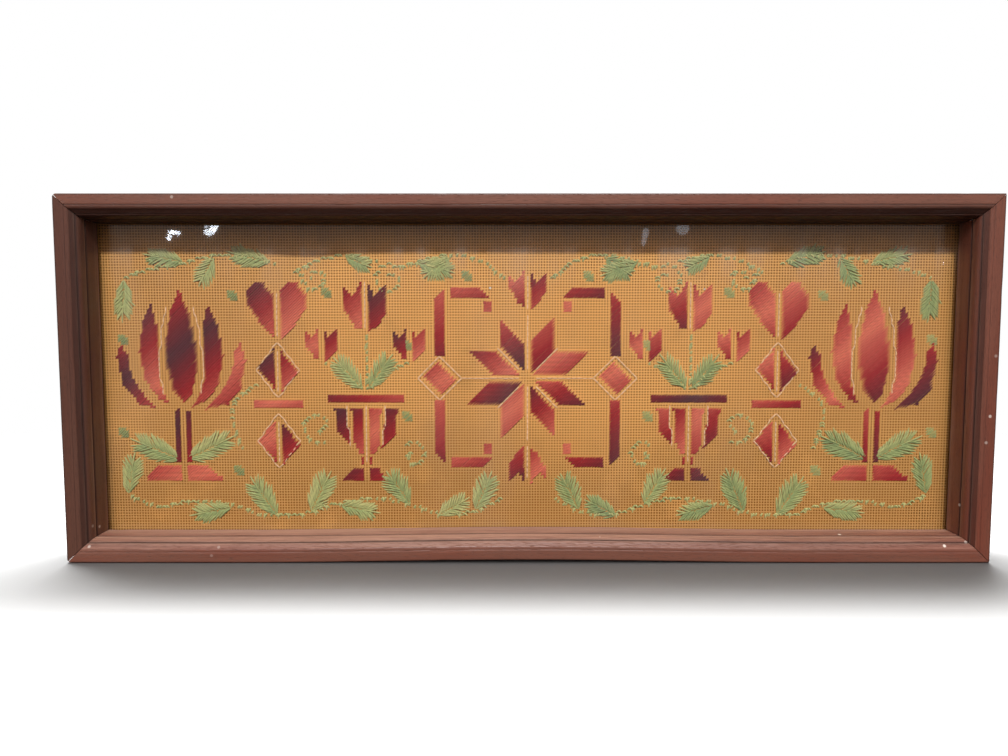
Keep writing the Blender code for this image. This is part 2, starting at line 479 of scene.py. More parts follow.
def moulding_section(sizes):
    """The closed section as (inward, back, worn, groove), from the back of the outer side round; groove is
    how dark a point is, with soiling and painted shade.
    """
    section = list(OUTER_SIDE)
    for step in range(ROUND_STEPS + 1):
        angle = math.radians(90) * step / ROUND_STEPS
        section.append((sizes.outer_round * (1 - math.cos(angle)),
                        sizes.outer_round * (1 - math.sin(angle)), 0.4, 0.55))
    section += FLAT_FACE
    for origin, points in ((sizes.face_width, SCORED_LINE), (sizes.roll_in, ROLL)):
        section += [(origin + inward, back, worn, groove) for inward, back, worn, groove in points]
    rolled, shoulder = section[-1], (sizes.shoulder_in, sizes.shoulder_back)
    for part in (0.25, 0.5, 0.75, 0.93):
        section.append((rolled[0] + (shoulder[0] - rolled[0]) * part,
                        rolled[1] + (shoulder[1] - rolled[1]) * part, 0.3 + 0.6 * part ** 3, part ** 4))
    start = (shoulder[0] + 0.0003, shoulder[1] + 0.0002)
    section += [(*shoulder, 1.0, 0.6), (shoulder[0] - 0.00005, shoulder[1] + 0.0004, 0.0, 1.0),
                (start[0] - 0.0001, start[1] + 0.0003, 0.0, 1.0)]
    for end in ((sizes.step_in, sizes.step_back), (sizes.sight_in, sizes.sight_back)):
        for step, (inward, back) in enumerate(quarter_round(start, end, BEAD_STEPS)):
            # Each bead is darkened next to the groove before it and at its end: grime, with painted shade
            # in the recesses and at the sight edge.
            dark = BEAD_SHADE_AND_GRIME[step] if step < len(BEAD_SHADE_AND_GRIME) else (step == BEAD_STEPS) * 0.6
            section.append((inward, back, 0.25 + 0.75 * (step / BEAD_STEPS) ** 4, dark))
        if end[0] < sizes.sight_in:
            quirk = end[1] + sizes.quirk_depth
            section.append((end[0] - sizes.quirk_cut * 0.8, end[1] + sizes.quirk_depth * 0.35, 0.0, 0.9))
            section.append((end[0] - sizes.quirk_cut, quirk, 0.0, 1.0))
            start = (end[0], quirk)
    wall = sizes.sight_in - sizes.rabbet
    section += [(wall, sizes.sight_back, 0.0, 1.0), (wall, RAIL_DEPTH, 0.0, 0.4)]
    return section


def crook_at(along, crook):
    """How far a rail's crook lifts it inward at a distance from its middle."""
    if abs(along) >= CROOK_REACH:
        return 0.0
    return crook * math.cos(math.pi * along / (2 * CROOK_REACH)) ** 2


def tip_line(inward, play, tip):
    """How far short of the corner a rail ends: along its mitre, or along the slant of a worn tip."""
    return max(inward + play, tip - inward)


def hand_wear(along, inward, back, worn, seed):
    """How far wear, planing and knocks have taken a spot of the moulding off its true line."""
    slow = noise.noise(Vector((along * 22, inward * 300, seed)))
    quick = noise.noise(Vector((along * 130, inward * 500 + back * 300, seed + 7.3)))
    knock = max(0.0, noise.noise(Vector((along * 70, back * 90, seed + 31.0))) - 0.34)
    return worn * max(0.0, 0.00004 + 0.00004 * slow + 0.00003 * quick + 0.0008 * knock)


def worn_lit_and_shaded(name, rail, sizes, along, inward, groove):
    """How pale a spot of a rail is, from wear and on the bottom rail's upward beads from painted light,
    and how dark, from soiling and painted shade in grooves, on shoulders and under the top rail.
    """
    top, bead = name == "rail_top", inward > sizes.shoulder_in + 0.0001
    past = min(max((inward - sizes.roll_in) / 0.0006, 0.0), 1.0)
    pale = rail["pale"] * past * (1.0 if bead else 0.45) * (0.9 if inward > sizes.step_in else 1.0)
    # The bottom rail is palest left of its middle and less so towards its ends.
    pale *= 1 - 0.45 * min(abs(along + 0.09) / 0.33, 1.0)
    # Painted shade: the top rail's scored line and all of it inward of that line are darkened, and each
    # rail's shoulder, less so its beads, by its own amount.
    if top and abs(inward - sizes.face_width) < 0.0001:
        return pale, 0.9
    grime_and_painted_shade = rail["grime_and_painted_shade"] * past * (1.0 if top or not bead else 0.2)
    if top and inward > sizes.face_width:
        grime_and_painted_shade = max(grime_and_painted_shade, 0.43 + 0.14 * min((inward - sizes.face_width) / 0.002, 1.0))
    return pale, max(groove * (1 - 0.4 * rail["pale"]), grime_and_painted_shade)


def rail_piece(name, rail, sizes, material):
    """One mitred rail, turned to its own side, with the grain's place and its wear on each point."""
    whole = FRAME_WIDTH if rail["long"] else FRAME_HEIGHT
    reach = (FRAME_HEIGHT if rail["long"] else FRAME_WIDTH) / 2
    turn, play = math.radians(rail["turn"]), sizes.mitre_gap / 2 * math.sqrt(2)
    section, seed = moulding_section(sizes), 3.7 * (1 + list(RAILS).index(name))
    stations = round(whole / STATION)
    near = [0.0, *(far / whole for far in TIP_STATIONS)]
    parts = [*near, *(n / stations for n in range(1, stations)), *(1 - part for part in reversed(near))]
    shape, rings, marks = bmesh.new(), [], []
    for part in parts:
        ring = []
        for inward, back, worn, groove in section:
            short = [tip_line(inward, play, tip) for tip in rail["tips"]]
            along = -whole / 2 + short[0] + (whole - short[0] - short[1]) * part
            hollow, sway = hand_wear(along, inward, back, worn, seed), 0.0
            if 0.001 < back < sizes.sight_back - 0.001 and inward > 0.007:
                sway = noise.noise(Vector((along * 16, back * 260, seed))) * 0.00016
            height = max(0.0, inward + (hollow if inward < 0.003 else -hollow) + sway)
            deep = min(back + hollow, RAIL_DEPTH) if inward > 0.0001 else back
            z = height + crook_at(along, rail["crook"]) - reach
            ring.append(shape.verts.new((along * math.cos(turn) + z * math.sin(turn), deep - RAIL_DEPTH,
                                         CENTRE_Z - along * math.sin(turn) + z * math.cos(turn))))
            # A worn tip is bare wood at its very end.
            bare = (short[part > 0.5] - inward - play) * 1500
            bare *= max(0.0, 1 - min(part, 1 - part) * whole / TIP_STATIONS[-1])
            # The worn mark takes the paleness of wear and of painted light, the other mark grime and
            # painted shade.
            pale, dark_of_grime_and_shade = worn_lit_and_shaded(name, rail, sizes, along, inward, groove)
            marks.append((along + seed, inward, back, worn + bare + pale, dark_of_grime_and_shade))
        rings.append(ring)
    for ring, following in itertools.pairwise(rings):
        for index in range(len(section)):
            after = (index + 1) % len(section)
            shape.faces.new((ring[index], ring[after], following[after], following[index]))
    shape.faces.new(rings[0])
    shape.faces.new(rings[-1])
    bmesh.ops.recalc_face_normals(shape, faces=shape.faces)
    mesh = bpy.data.meshes.new(name + "_moulded")
    shape.to_mesh(mesh)
    shape.free()
    carry(mesh, "grain_at", "FLOAT_VECTOR", [n for mark in marks for n in mark[:3]], "vector")
    for field, place in (("worn", 3), ("groove", 4)):
        carry(mesh, field, "FLOAT", [mark[place] for mark in marks])
    for field in ("stain", "red"):
        carry(mesh, field, "FLOAT", [rail[field]] * len(marks))
    mesh.shade_smooth()
    mesh.set_sharp_from_angle(angle=math.radians(34))
    piece = put(name + "_moulded", mesh, material)
    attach(piece, "root")
    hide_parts(name)


def stained_hardwood(sizes):
    """Old stained hardwood: streaky grain along each rail, open pores, worn arrises and painted light on
    the bottom rail's upward beads, soiling with painted shade in the grooves and on the shoulders, pale
    knocks.
    """
    material, desk = new_material("stained_hardwood")
    place = desk.attribute("grain_at", "Vector")
    # worn holds wear and, on the bottom rail's upward beads, painted light; groove holds grime and painted
    # shade.
    worn, groove, stain, red = (desk.attribute(name) for name in ("worn", "groove", "stain", "red"))
    # The figure of the wood: swaying streaks, fine fibres and slow clouds along the rail.
    streak = desk.noise(desk.warped(place, (13.0, 640.0, 640.0), 14.0, (1.6, 2.6, 2.6)), 1.0, 4.0, 0.62)
    fine = desk.streaks(place, (48.0, 1900.0, 1900.0), 2.0, 0.6)
    cloud = desk.streaks(place, (11.0, 70.0, 70.0), 3.0)
    figure = streak * 0.46 + fine * 0.34 + cloud * 0.34 - 0.07
    shade = desk.ramp(figure, [(at, scaled(sizes.stain, by)) for at, by in
                               ((0.22, 0.66), (0.45, 1.0), (0.60, 1.14), (0.80, 1.45))])
    patch = desk.smooth(desk.streaks(place, (9.0, 60.0, 60.0), 2.0), 0.44, 0.66)
    shade = desk.dimmed(desk.mix(red - 0.08 + patch * 0.42, shade, REDDENED, "MULTIPLY"), stain)
    pore = desk.smooth(desk.streaks(place, (230.0, 3800.0, 3800.0), 1.0), 0.58, 0.68)
    shade = desk.mix(pore * 0.34, shade, scaled(sizes.stain_dark, 0.45))
    # Paler where hands and dusters have rubbed it and, on the bottom rail's upward beads, with painted
    # light; darker with grime and painted shade in the grooves, on the shoulders and under the top rail.
    rubbed_and_lit = desk.smooth(worn * 0.62 + streak * 0.5 + fine * 0.15 + cloud * 0.2, 0.72, 1.25)
    bared_and_lit = desk.dimmed(sizes.stain_pale, streak * 0.7 + fine * 0.9 + 0.2)
    shade = desk.mix(rubbed_and_lit * 0.72, shade, bared_and_lit)
    shade = desk.mix(desk.smooth(groove, 0.1, 0.9) * 0.84, shade, GRIME_AND_PAINTED_SHADE)
    # Small knocks on the worn edges, and flecks of dust.
    spots = desk.node("ShaderNodeTexVoronoi", None, {"Vector": place, "Scale": 74.0})
    chosen = desk.apart(spots.other("Color"))[0] > 0.90
    knock = desk.smooth(spots, 0.045, 0.010) * chosen * desk.smooth(worn, 0.20, 0.6)
    shade = desk.mix(knock * 0.85, shade, BARE_WOOD)
    fleck, spot = 0.0, object_place(desk)
    for middle, strength in FLECKS:
        off = desk.vector("DISTANCE", spot, middle, out="Value")
        fleck = desk.math("MAXIMUM", fleck, desk.smooth(off, 0.0012, 0.0005, 0.0, strength))
    shade = desk.mix(fleck, shade, DUST)
    rough = desk.smooth(figure, 0.35, 0.65, 0.44, 0.34) + pore * 0.2 + rubbed_and_lit * 0.36
    relief = desk.bump(figure * 0.5 - pore * 0.5 - knock * 0.8, 0.00016, 0.8)
    desk.principled(shade, rough, relief, {"Specular IOR Level": 0.42})
    return material


# ---------------------------------------------------------------- the pattern, counted in holes

# How far from the middle the urns, the heart columns and the great tulips stand.
URN, HEART, PALM = 59, 91, 126
# The longest satin stitch, a back stitch, and the space between the stitches of a vine.
LONGEST_STITCH, BACK_STITCH, VINE_SPACE = 15, 2, 1.6
# How far a stitch strays from its hole, and how unevenly it takes the dye.
STRAY, DYE_DRIFT = 0.07, 0.018
# How near a shape's edge a hole belongs to it, and how near a strand's middle a hole is covered.
EDGE_REACH, COVER_REACH = 0.12, 0.36


def flipped(corners, across=True):
    """A shape turned over, left to right or top to bottom."""
    return [(-i, j) if across else (i, -j) for i, j in corners]


def moved(corners, by):
    """A shape moved across and up by a number of holes."""
    return [(i + by[0], j + by[1]) for i, j in corners]


def both_sides(shapes, centre, change=0.13):
    """Shapes round a centre line, and again on the other side of the card in other shades.

    Each shape has its corners, its shade, and how the shade drifts from one stitch to the next.
    """
    for corners, shade, drift in shapes:
        yield moved(corners, centre), shade, drift
        yield flipped(moved(corners, centre)), shade + change, -drift


def halves(corners, shades, drift=0.03):
    """The right half of a shape and its left half, each in its own shade."""
    return [(corners, shades[0], drift), (flipped(corners), shades[1], drift)]


def star_shapes():
    """The eight-pointed star in the middle, its posts, arms and finials."""
    petal = [(1, 2), (1, 13), (10, 22), (10, 11)]
    shades = (0.35, 0.95, 1.25, 0.62, 0.15, 1.45, 0.78, 0.42)
    shapes = []
    for shade, (across, up, swap) in zip(shades, itertools.product((1, -1), (1, -1), (0, 1))):
        corners = [(i * across, j * up) for i, j in ((b, a) if swap else (a, b) for a, b in petal)]
        shapes.append((corners, shade, 0.030))
    finial = [(1, 25), (4, 27), (7, 32), (7, 39), (4, 35), (1, 40)]
    shapes += halves(finial, (1.30, 0.55), 0.04) + halves(flipped(finial, False), (0.85, 0.20), 0.04)
    for up in (True, False):
        post = [(30, 8), (34, 8), (34, 28), (30, 32)]
        arm = [(13, 29), (28, 29), (28, 33), (17, 33)]
        hook = [(13, 24), (16, 24), (16, 28), (13, 28)]
        for corners, shade, drift in ((post, 0.10, 0.022), (arm, 0.50, 0.02), (hook, 0.95, 0.03)):
            corners = corners if up else flipped(corners, False)
            shapes += halves(corners, (shade, shade + 0.25), drift)
    for side in (1, -1):
        knot = [(32 * side, -6), (32 * side + 6, 0), (32 * side, 6), (32 * side - 6, 0)]
        shapes.append((knot, 0.86 if side > 0 else 1.05, 0.03))
    return shapes


def urn_shapes():
    """An urn with three tulips on either side of the star."""
    foot = [(1, -38), (9, -38), (5, -33), (1, -33)]
    shapes = halves(foot, (0.12, 0.30))
    shapes += halves([(1, -32), (2, -32), (2, -29), (1, -29)], (0.5, 0.5))
    shapes += halves([(1, -28), (3, -28), (5, -24), (6, -11), (1, -11)], (0.62, 1.10))
    shapes += halves([(5, -26), (11, -20), (12, -11), (7, -11)], (0.28, 0.42))
    shapes.append(([(-14, -9), (14, -9), (14, -6), (-14, -6)], 0.20, 0.016))
    tulip = [(1, 17), (4, 18), (8, 24), (8, 34), (4, 30), (1, 37)]
    shapes += halves(tulip, (0.78, 0.36), 0.034)
    small = [(1, 0), (3, 1), (6, 5), (6, 12), (3, 9), (1, 14)]
    for across, shades in ((16, (1.02, 0.60)), (-16, (0.40, 0.88))):
        shapes += [(moved(corners, (across, 6)), shade, drift)
                   for corners, shade, drift in halves(small, shades, 0.045)]
    return both_sides(shapes, (URN, 0))


def heart_shapes():
    """A column of a heart, lozenges and bars."""
    lobe = [(1, 12), (7, 18), (11, 24), (11, 29), (8, 33), (4, 33), (1, 29)]
    shapes = halves(lobe, (0.46, 0.86), 0.03)
    for low, high, shades in ((-7, 9, (0.18, 0.66)), (-34, -17, (1.05, 0.44))):
        middle = (low + high) // 2
        shapes += halves([(1, low), (8, middle), (1, high)], shades, 0.035)
    shapes.append(([(-9, -13), (9, -13), (9, -10), (-9, -10)], 0.72, 0.02))
    return both_sides(shapes, (HEART, 2), 0.2)


def tulip_shapes():
    """A great tulip with five petals, on a stem in a stepped foot, near either end of the card."""
    heart = [(0, -10), (4, -5), (6, 3), (6, 14), (4, 24), (0, 33), (-4, 24), (-6, 14), (-6, 3), (-4, -5)]
    inner = [(3, -11), (9, -8), (14, -1), (16, 9), (14, 20), (10, 28), (8, 20), (8, 8), (8, 1), (6, -6)]
    outer = [(8, -12), (16, -10), (22, -3), (24, 7), (22, 14), (19, 9), (18, 3), (15, -4)]
    shapes = [(heart, 0.30, 0.028)]
    shapes += halves(inner, (0.92, 0.52), 0.030) + halves(outer, (0.16, 1.10), 0.034)
    shapes += halves([(1, -31), (3, -31), (3, -12), (1, -11)], (0.12, 0.34), 0.02)
    shapes += halves([(1, -38), (14, -38), (14, -36), (9, -32), (1, -32)], (0.62, 0.80), 0.02)
    return both_sides(shapes, (PALM, 0), 0.16)


def dot_shapes():
    """Small eight-sided dots in sage green."""
    dot = [(-1, -2), (1, -2), (2, -1), (2, 1), (1, 2), (-1, 2), (-2, 1), (-2, -1)]
    for i, j in ((73, 31), (107, 30), (106, -34), (44, 12), (44, -14), (22, 37), (148, -20), (147, 14)):
        for side in (1, -1):
            yield moved(dot, (i * side, j)), 0.35 + 0.1 * side, 0.05


def within(corners, i, j):
    """True if a hole lies inside a shape or on its edge."""
    inside = False
    for (ax, ay), (bx, by) in zip(corners, corners[1:] + corners[:1]):
        along = ((i - ax) * (bx - ax) + (j - ay) * (by - ay)) / max((bx - ax) ** 2 + (by - ay) ** 2, 1e-9)
        along = min(max(along, 0.0), 1.0)
        if math.hypot(ax + along * (bx - ax) - i, ay + along * (by - ay) - j) < EDGE_REACH:
            return True
        if (ay > j) != (by > j) and i < (bx - ax) * (j - ay) / (by - ay) + ax:
            inside = not inside
    return inside


def satin_lines(corners):
    """The rising stitches that cover a shape: first hole, last hole and place in the working order."""
    low_i, high_i = min(i for i, _ in corners), max(i for i, _ in corners)
    low_j, high_j = min(j for _, j in corners), max(j for _, j in corners)
    filled = {(i, j) for i in range(low_i, high_i + 1) for j in range(low_j, high_j + 1)
              if within(corners, i, j)}
    for i, j in sorted(filled):
        if (i - 1, j - 1) in filled:
            continue
        steps = 0
        while (i + steps + 1, j + steps + 1) in filled:
            steps += 1
        # A line of one hole has no parts, and so no stitch.
        parts = math.ceil(steps / LONGEST_STITCH)
        for part in range(parts):
            a, b = (round(steps * k / parts) for k in (part, part + 1))
            yield (i + a, j + a), (i + b, j + b), (j - low_j) - (i - low_i)


def fold(value):
    """Runs from 0 up to 1 and back, as the shades follow each other along a shaded thread."""
    return 1 - abs(value % 2 - 1)


class Needle:
    """Collects the stitches of one piece, as lines from hole to hole."""

    def __init__(self, seed):
        self.dice = random.Random(seed)
        self.lines = []

    def stitch(self, start, end, tone, girth=1.0, lift=0.0, tip=None):
        """One stitch from hole to hole, with the small unevenness of handwork.

        tone is its shade at the start and tip at the end. lift is how far it lies over the others.
        """
        if math.dist(start, end) < 0.5:
            return
        stray = [self.dice.uniform(-STRAY, STRAY) for _ in range(4)]
        drift = self.dice.uniform(-DYE_DRIFT, DYE_DRIFT)
        self.lines.append(((start[0] + stray[0], start[1] + stray[1]),
                           (end[0] + stray[2], end[1] + stray[3]),
                           tone + drift, (tone if tip is None else tip) + drift,
                           girth * self.dice.uniform(0.94, 1.06),
                           lift + self.dice.uniform(0.0, 0.00005)))

    def satin(self, shapes):
        """Covers shapes with long stitches, the shade drifting along each."""
        for corners, shade, drift in shapes:
            for start, end, order in satin_lines(corners):
                self.stitch(start, end, fold(shade + drift * order), tip=fold(shade + drift * (order + 2)))

    def back_line(self, points):
        """A fine line of back stitches through a row of corners."""
        for (ai, aj), (bi, bj) in itertools.pairwise(points):
            count = max(1, round(max(abs(bi - ai), abs(bj - aj)) / BACK_STITCH))
            marks = [(round(ai + (bi - ai) * k / count), round(aj + (bj - aj) * k / count))
                     for k in range(count + 1)]
            for start, end in itertools.pairwise(marks):
                self.stitch(start, end, 0.5, 0.50, 0.00030)

    def leaf(self, base, angle, long, wide, tone):
        """A leaf in close fishbone stitch: strands that fan forward from a midrib to both edges."""
        along = (math.cos(math.radians(angle)), math.sin(math.radians(angle)))
        count = max(6, round(long * 1.5))
        for k in range(count):
            part = (k + 0.5) / count
            bulge = wide * math.sin(math.pi * (0.16 + 0.72 * part)) ** 0.6
            for side in (1, -1):
                rib = long * (0.02 + 0.78 * part)
                reach = bulge * self.dice.uniform(0.80, 1.10)
                out = rib + long * 0.14 + 0.55 * reach
                inner = [base[n] + along[n] * rib for n in (0, 1)]
                outer = [base[n] + along[n] * out + (-along[1], along[0])[n] * side * reach
                         for n in (0, 1)]
                shade = tone - 0.10 + 0.14 * side * along[0] + self.dice.uniform(-0.08, 0.08)
                self.stitch([round(2 * v) / 2 for v in inner], [round(v) for v in outer], shade,
                            self.dice.uniform(0.9, 1.15), 0.00007 * (k % 3), shade + 0.42)
        tip = [round(base[n] + along[n] * long * 1.06) for n in (0, 1)]
        self.stitch([base[n] + along[n] * long * 0.60 for n in (0, 1)], tip, tone, 1.1, 0.0002, tone + 0.4)

    def vine(self, points):
        """A vine along a row of points: a rope of small slanting stitches, some of them crossed."""
        far, due = 0.0, 0.0
        for number, (a, b) in enumerate(itertools.pairwise(smooth_line(points))):
            far += math.dist(a, b)
            if far < due:
                continue
            due += VINE_SPACE
            i, j = (round(v) for v in b)
            rising = (b[0] - a[0]) * (b[1] - a[1]) <= 0
            ends = ((i, j), (i + 1, j + 1)) if rising else ((i, j + 1), (i + 1, j))
            shade = 0.84 + self.dice.uniform(-0.16, 0.16)
            self.stitch(*ends, shade, self.dice.uniform(1.05, 1.30), 0.00012)
            self.stitch(ends[0], (i + 2 * rising - 1, j), shade - self.dice.uniform(0.3, 0.6), 0.95)
            if number % 4 == 1:
                self.stitch((i, j - 1), (i, j + 1), shade + 0.1, 0.95, 0.00026)


def smooth_line(points, steps=24):
    """Points of a smooth curve through a row of points."""
    padded = [points[0], *points, points[-1]]
    for a, b, c, d in zip(padded, padded[1:], padded[2:], padded[3:]):
        for step in range(steps):
            t = step / steps
            yield tuple(0.5 * (2 * b[n] + (c[n] - a[n]) * t
                               + (2 * a[n] - 5 * b[n] + 4 * c[n] - d[n]) * t ** 2
                               + (3 * b[n] - a[n] - 3 * c[n] + d[n]) * t ** 3) for n in (0, 1))
    yield points[-1]


def curl(centre, wide, start, turn):
    """A spiral tendril that winds in to its centre."""
    steps = max(6, round(abs(turn) / 30))
    for step in range(steps + 1):
        angle = math.radians(start + turn * step / steps)
        reach = wide * (1 - 0.72 * step / steps)
        yield centre[0] + reach * math.cos(angle), centre[1] + reach * math.sin(angle)


VINES = (
    [(9, 36), (17, 42), (29, 44), (41, 41), (49, 40)] + list(curl((50, 35), 6, 90, -400)),
    [(55, 42), (66, 44), (76, 42), (84, 38)] + list(curl((77, 36), 5, 10, -390)),
    [(92, 41), (102, 44), (113, 44), (125, 41), (136, 39), (146, 36)],
    [(10, -45), (20, -50), (32, -51), (44, -47), (56, -45), (70, -47), (84, -51), (98, -51),
     (110, -47), (124, -46), (136, -48), (147, -44)],
    [(URN, -4), (URN, 6), (URN, 16)],
    [(URN + 2, -4), (URN + 8, 2), (URN + 15, 5)], [(URN - 2, -4), (URN - 8, 2), (URN - 15, 5)],
    list(curl((77, -18), 6, 250, 400)),
    list(curl((42, -29), 5, 60, 390)),
    [(105, -26), (108, -17), (106, -8), (99, -3)],
)

# Leaves: base, direction in degrees, length, half width and tone.
LEAVES = (
    ((URN - 1, -4), 128, 15, 4.0, 0.45), ((URN + 1, -4), 52, 15, 4.0, 0.30),
    ((19, -49), 115, 15, 4.4, 0.40), ((33, -51), 152, 13, 3.6, 0.20), ((43, -47), 60, 15, 4.4, 0.52),
    ((80, -50), 112, 17, 4.6, 0.28), ((92, -51), 56, 17, 4.6, 0.48), ((69, -47), 196, 14, 3.6, 0.36),
    ((109, -48), -6, 15, 3.8, 0.50), ((147, -43), 100, 15, 3.8, 0.34),
    ((40, 42), 200, 14, 3.8, 0.42), ((28, 44), -36, 12, 3.6, 0.26), ((66, 44), -152, 10, 3.2, 0.46),
    ((93, 42), 14, 15, 3.8, 0.38), ((113, 44), -62, 12, 3.8, 0.30), ((124, 42), 12, 14, 3.6, 0.50),
    ((146, 36), -92, 15, 3.8, 0.34),
    ((127, -30), 28, 19, 4.6, 0.44), ((125, -30), 152, 19, 4.6, 0.30),
)


def boxed(centre, wide, high):
    """The four corners of an upright lozenge, and its first corner again."""
    i, j = centre
    return [(i, j - high), (i + wide, j), (i, j + high), (i - wide, j), (i, j - high)]


CREAM_LINES = (
    [(0, 3), (0, 23)], [(3, 0), (24, 0)], [(3, 3), (11, 11)], [(3, -3), (11, -11)], [(0, -3), (0, -23)],
    [(0, 25), (0, 37)], [(0, -25), (0, -37)], boxed((32, 0), 8, 8),
    [(URN, -31), (URN, -10)], [(URN - 6, -25), (URN - 7, -10)], [(URN + 6, -25), (URN + 7, -10)],
    [(URN, 18), (URN, 35)],
    [(HEART, 15), (HEART, 31)], boxed((HEART, 3), 8, 10), boxed((HEART, -23), 8, 10),
    [(HEART, -5), (HEART, 10)], [(HEART, -31), (HEART, -16)],
    [(PALM + 7, -6), (PALM + 8, 6), (PALM + 7, 16), (PALM + 5, 26)],
    [(PALM - 7, -6), (PALM - 8, 6), (PALM - 7, 16), (PALM - 5, 26)],
)


# ---------------------------------------------------------------- the card and the wool

def covered_holes(needles):
    """The holes that wool covers, as (column, row) from the middle hole."""
    covered = set()
    for needle in needles:
        for start, end, *_ in needle.lines:
            steps = max(2, round(math.dist(start, end) * 4))
            for step in range(steps + 1):
                spot = [start[n] + (end[n] - start[n]) * step / steps for n in (0, 1)]
                hole = (round(spot[0]), round(spot[1]))
                if math.dist(hole, spot) < COVER_REACH:
                    covered.add(hole)
    return covered


def punched_card_tree():
    """A card punched in rows: a grid with a pair of lines for each row of holes, and the holes cut out."""
    tree, desk, given = geometry_tree("punch_the_card", {
        "Columns": "Int", "Rows": "Int", "Pitch": "Float", "Hole Width": "Float", "Low Row": "Float",
        "Low Corner": "Vector", "High Corner": "Vector", "Setback": "Float", "Material": "Material"})
    columns, rows, pitch = given["Columns"], given["Rows"], given["Pitch"]
    lines = (columns * 2 + 2, rows * 2 + 2)
    grid = desk.node("GeometryNodeMeshGrid", None, {
        "Size X": lines[0] - 1, "Size Y": lines[1] - 1, "Vertices X": lines[0], "Vertices Y": lines[1]})
    spot = desk.apart(desk.node("GeometryNodeInputPosition"))

    def line_number(n):
        return spot[n] + (lines[n] - 1) / 2

    def hole_number(n, nudge):
        return desk.math("FLOOR", (line_number(n) - 1 + nudge) / 2)

    def open_hole(nudge):
        index = hole_number(0, nudge) * rows + hole_number(1, nudge)
        return 1 - desk.node("GeometryNodeSampleIndex", {"data_type": "FLOAT", "clamp": True}, {
            "Geometry": given["Geometry"], "Value": desk.field("covered"), "Index": index})

    def odd(n):
        return desk.math("FLOOR", line_number(n)) % 2

    # A hole lies between lines 1 and 2, 3 and 4 and so on, each way.
    cut = odd(0) * odd(1) * open_hole(0.0)
    sheet = desk.node("GeometryNodeDeleteGeometry", {"domain": "FACE"}, {
        "Geometry": grid, "Selection": desk.math("GREATER_THAN", cut, 0.5)})
    corners = (desk.apart(given["Low Corner"]), desk.apart(given["High Corner"]))
    first = (columns * pitch * -0.5 + pitch * 0.5, given["Low Row"] * pitch)
    place = []
    for n, part in ((0, 0), (1, 2)):
        number = desk.math("FLOOR", line_number(n) + 0.5)
        side = desk.math("FLOOR", number - 0.5) % 2 * 2 - 1
        hole = desk.math("FLOOR", (number - 1) / 2 + 0.01)
        on_hole = first[n] + hole * pitch + side * given["Hole Width"] * 0.5 * open_hole(0.02)
        low, high = corners[0][part], corners[1][part]
        before, after = number < 0.5, number > lines[n] - 1.5
        place.append((1 - before) * (1 - after) * on_hole + before * low + after * high)
    x, z = place
    depth = SHEET_FRONT + given["Setback"] + cockle_at(x, z)
    laid = desk.node("GeometryNodeSetPosition", None, {
        "Geometry": sheet, "Position": desk.xyz(x, depth, z + CENTRE_Z)})
    whole = desk.node("GeometryNodeMergeByDistance", None, {"Geometry": laid, "Distance": 0.00002})
    smooth = desk.node("GeometryNodeSetShadeSmooth", None, {"Geometry": whole})
    end_tree(desk, smooth, given["Material"])
    return tree


